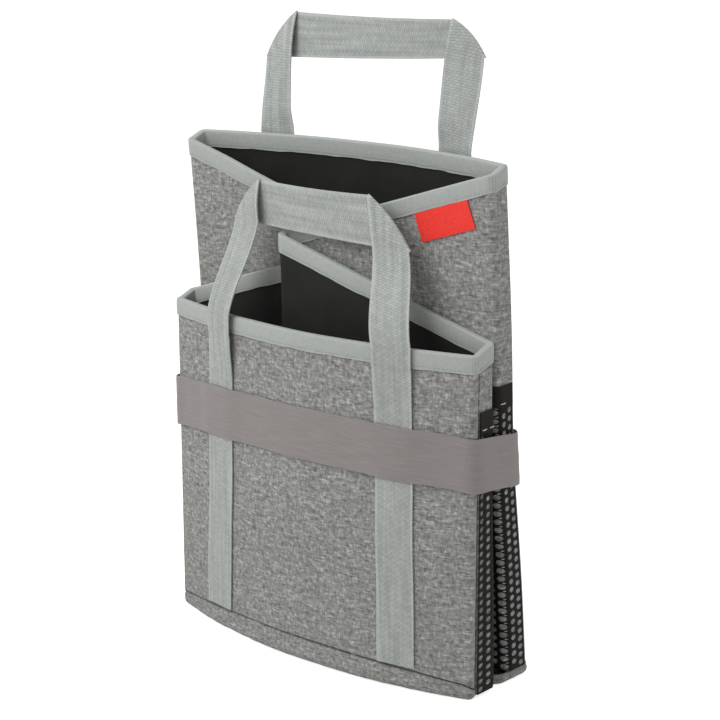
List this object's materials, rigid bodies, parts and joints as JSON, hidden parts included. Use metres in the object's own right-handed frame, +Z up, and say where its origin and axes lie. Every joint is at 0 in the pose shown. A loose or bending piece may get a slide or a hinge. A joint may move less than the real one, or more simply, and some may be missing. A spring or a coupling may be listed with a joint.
{
  "type": "car organizer",
  "caption": "Fabric car organizer folded flat, with a low front, tall back, webbing handles, mesh side pockets, bound rims and an elastic band round it.",
  "frame": {"origin": "on the ground, midway between the side edges of the front panel", "axes": "+X to the right along the front panel, +Y from front to back, +Z up"},
  "size_m": [0.3066, 0.1185, 0.4838],
  "materials": {
    "melange": "woven grey melange, matte",
    "lining": "black plain-weave lining, matte",
    "board": "fibreboard, sealed inside",
    "binding": "light grey fine-ribbed tape",
    "webbing": "light grey ribbed webbing",
    "elastic": "warm grey knitted elastic",
    "net": "black knitted net and tape",
    "tag": "bare red woven tag"
  },
  "bodies": {
    "root": {"front_outer": "melange", "front_board": "board", "front_lining": "lining", "back_outer": "melange", "back_board": "board", "back_lining": "lining", "right_outer": "melange", "right_board_near": "board", "right_board_far": "board", "right_lining": "lining", "left_outer": "melange", "left_board_near": "board", "left_board_far": "board", "left_lining": "lining", "rim_binding": "binding", "base_fabric": "melange", "base_board_front": "lining", "base_board_back": "lining", "front_handle": "webbing", "back_handle": "webbing", "elastic_band": "elastic", "right_mesh": "net", "right_mesh_tape": "net", "left_mesh": "net", "left_mesh_tape": "net", "label": "tag"}
  },
  "joints": []
}
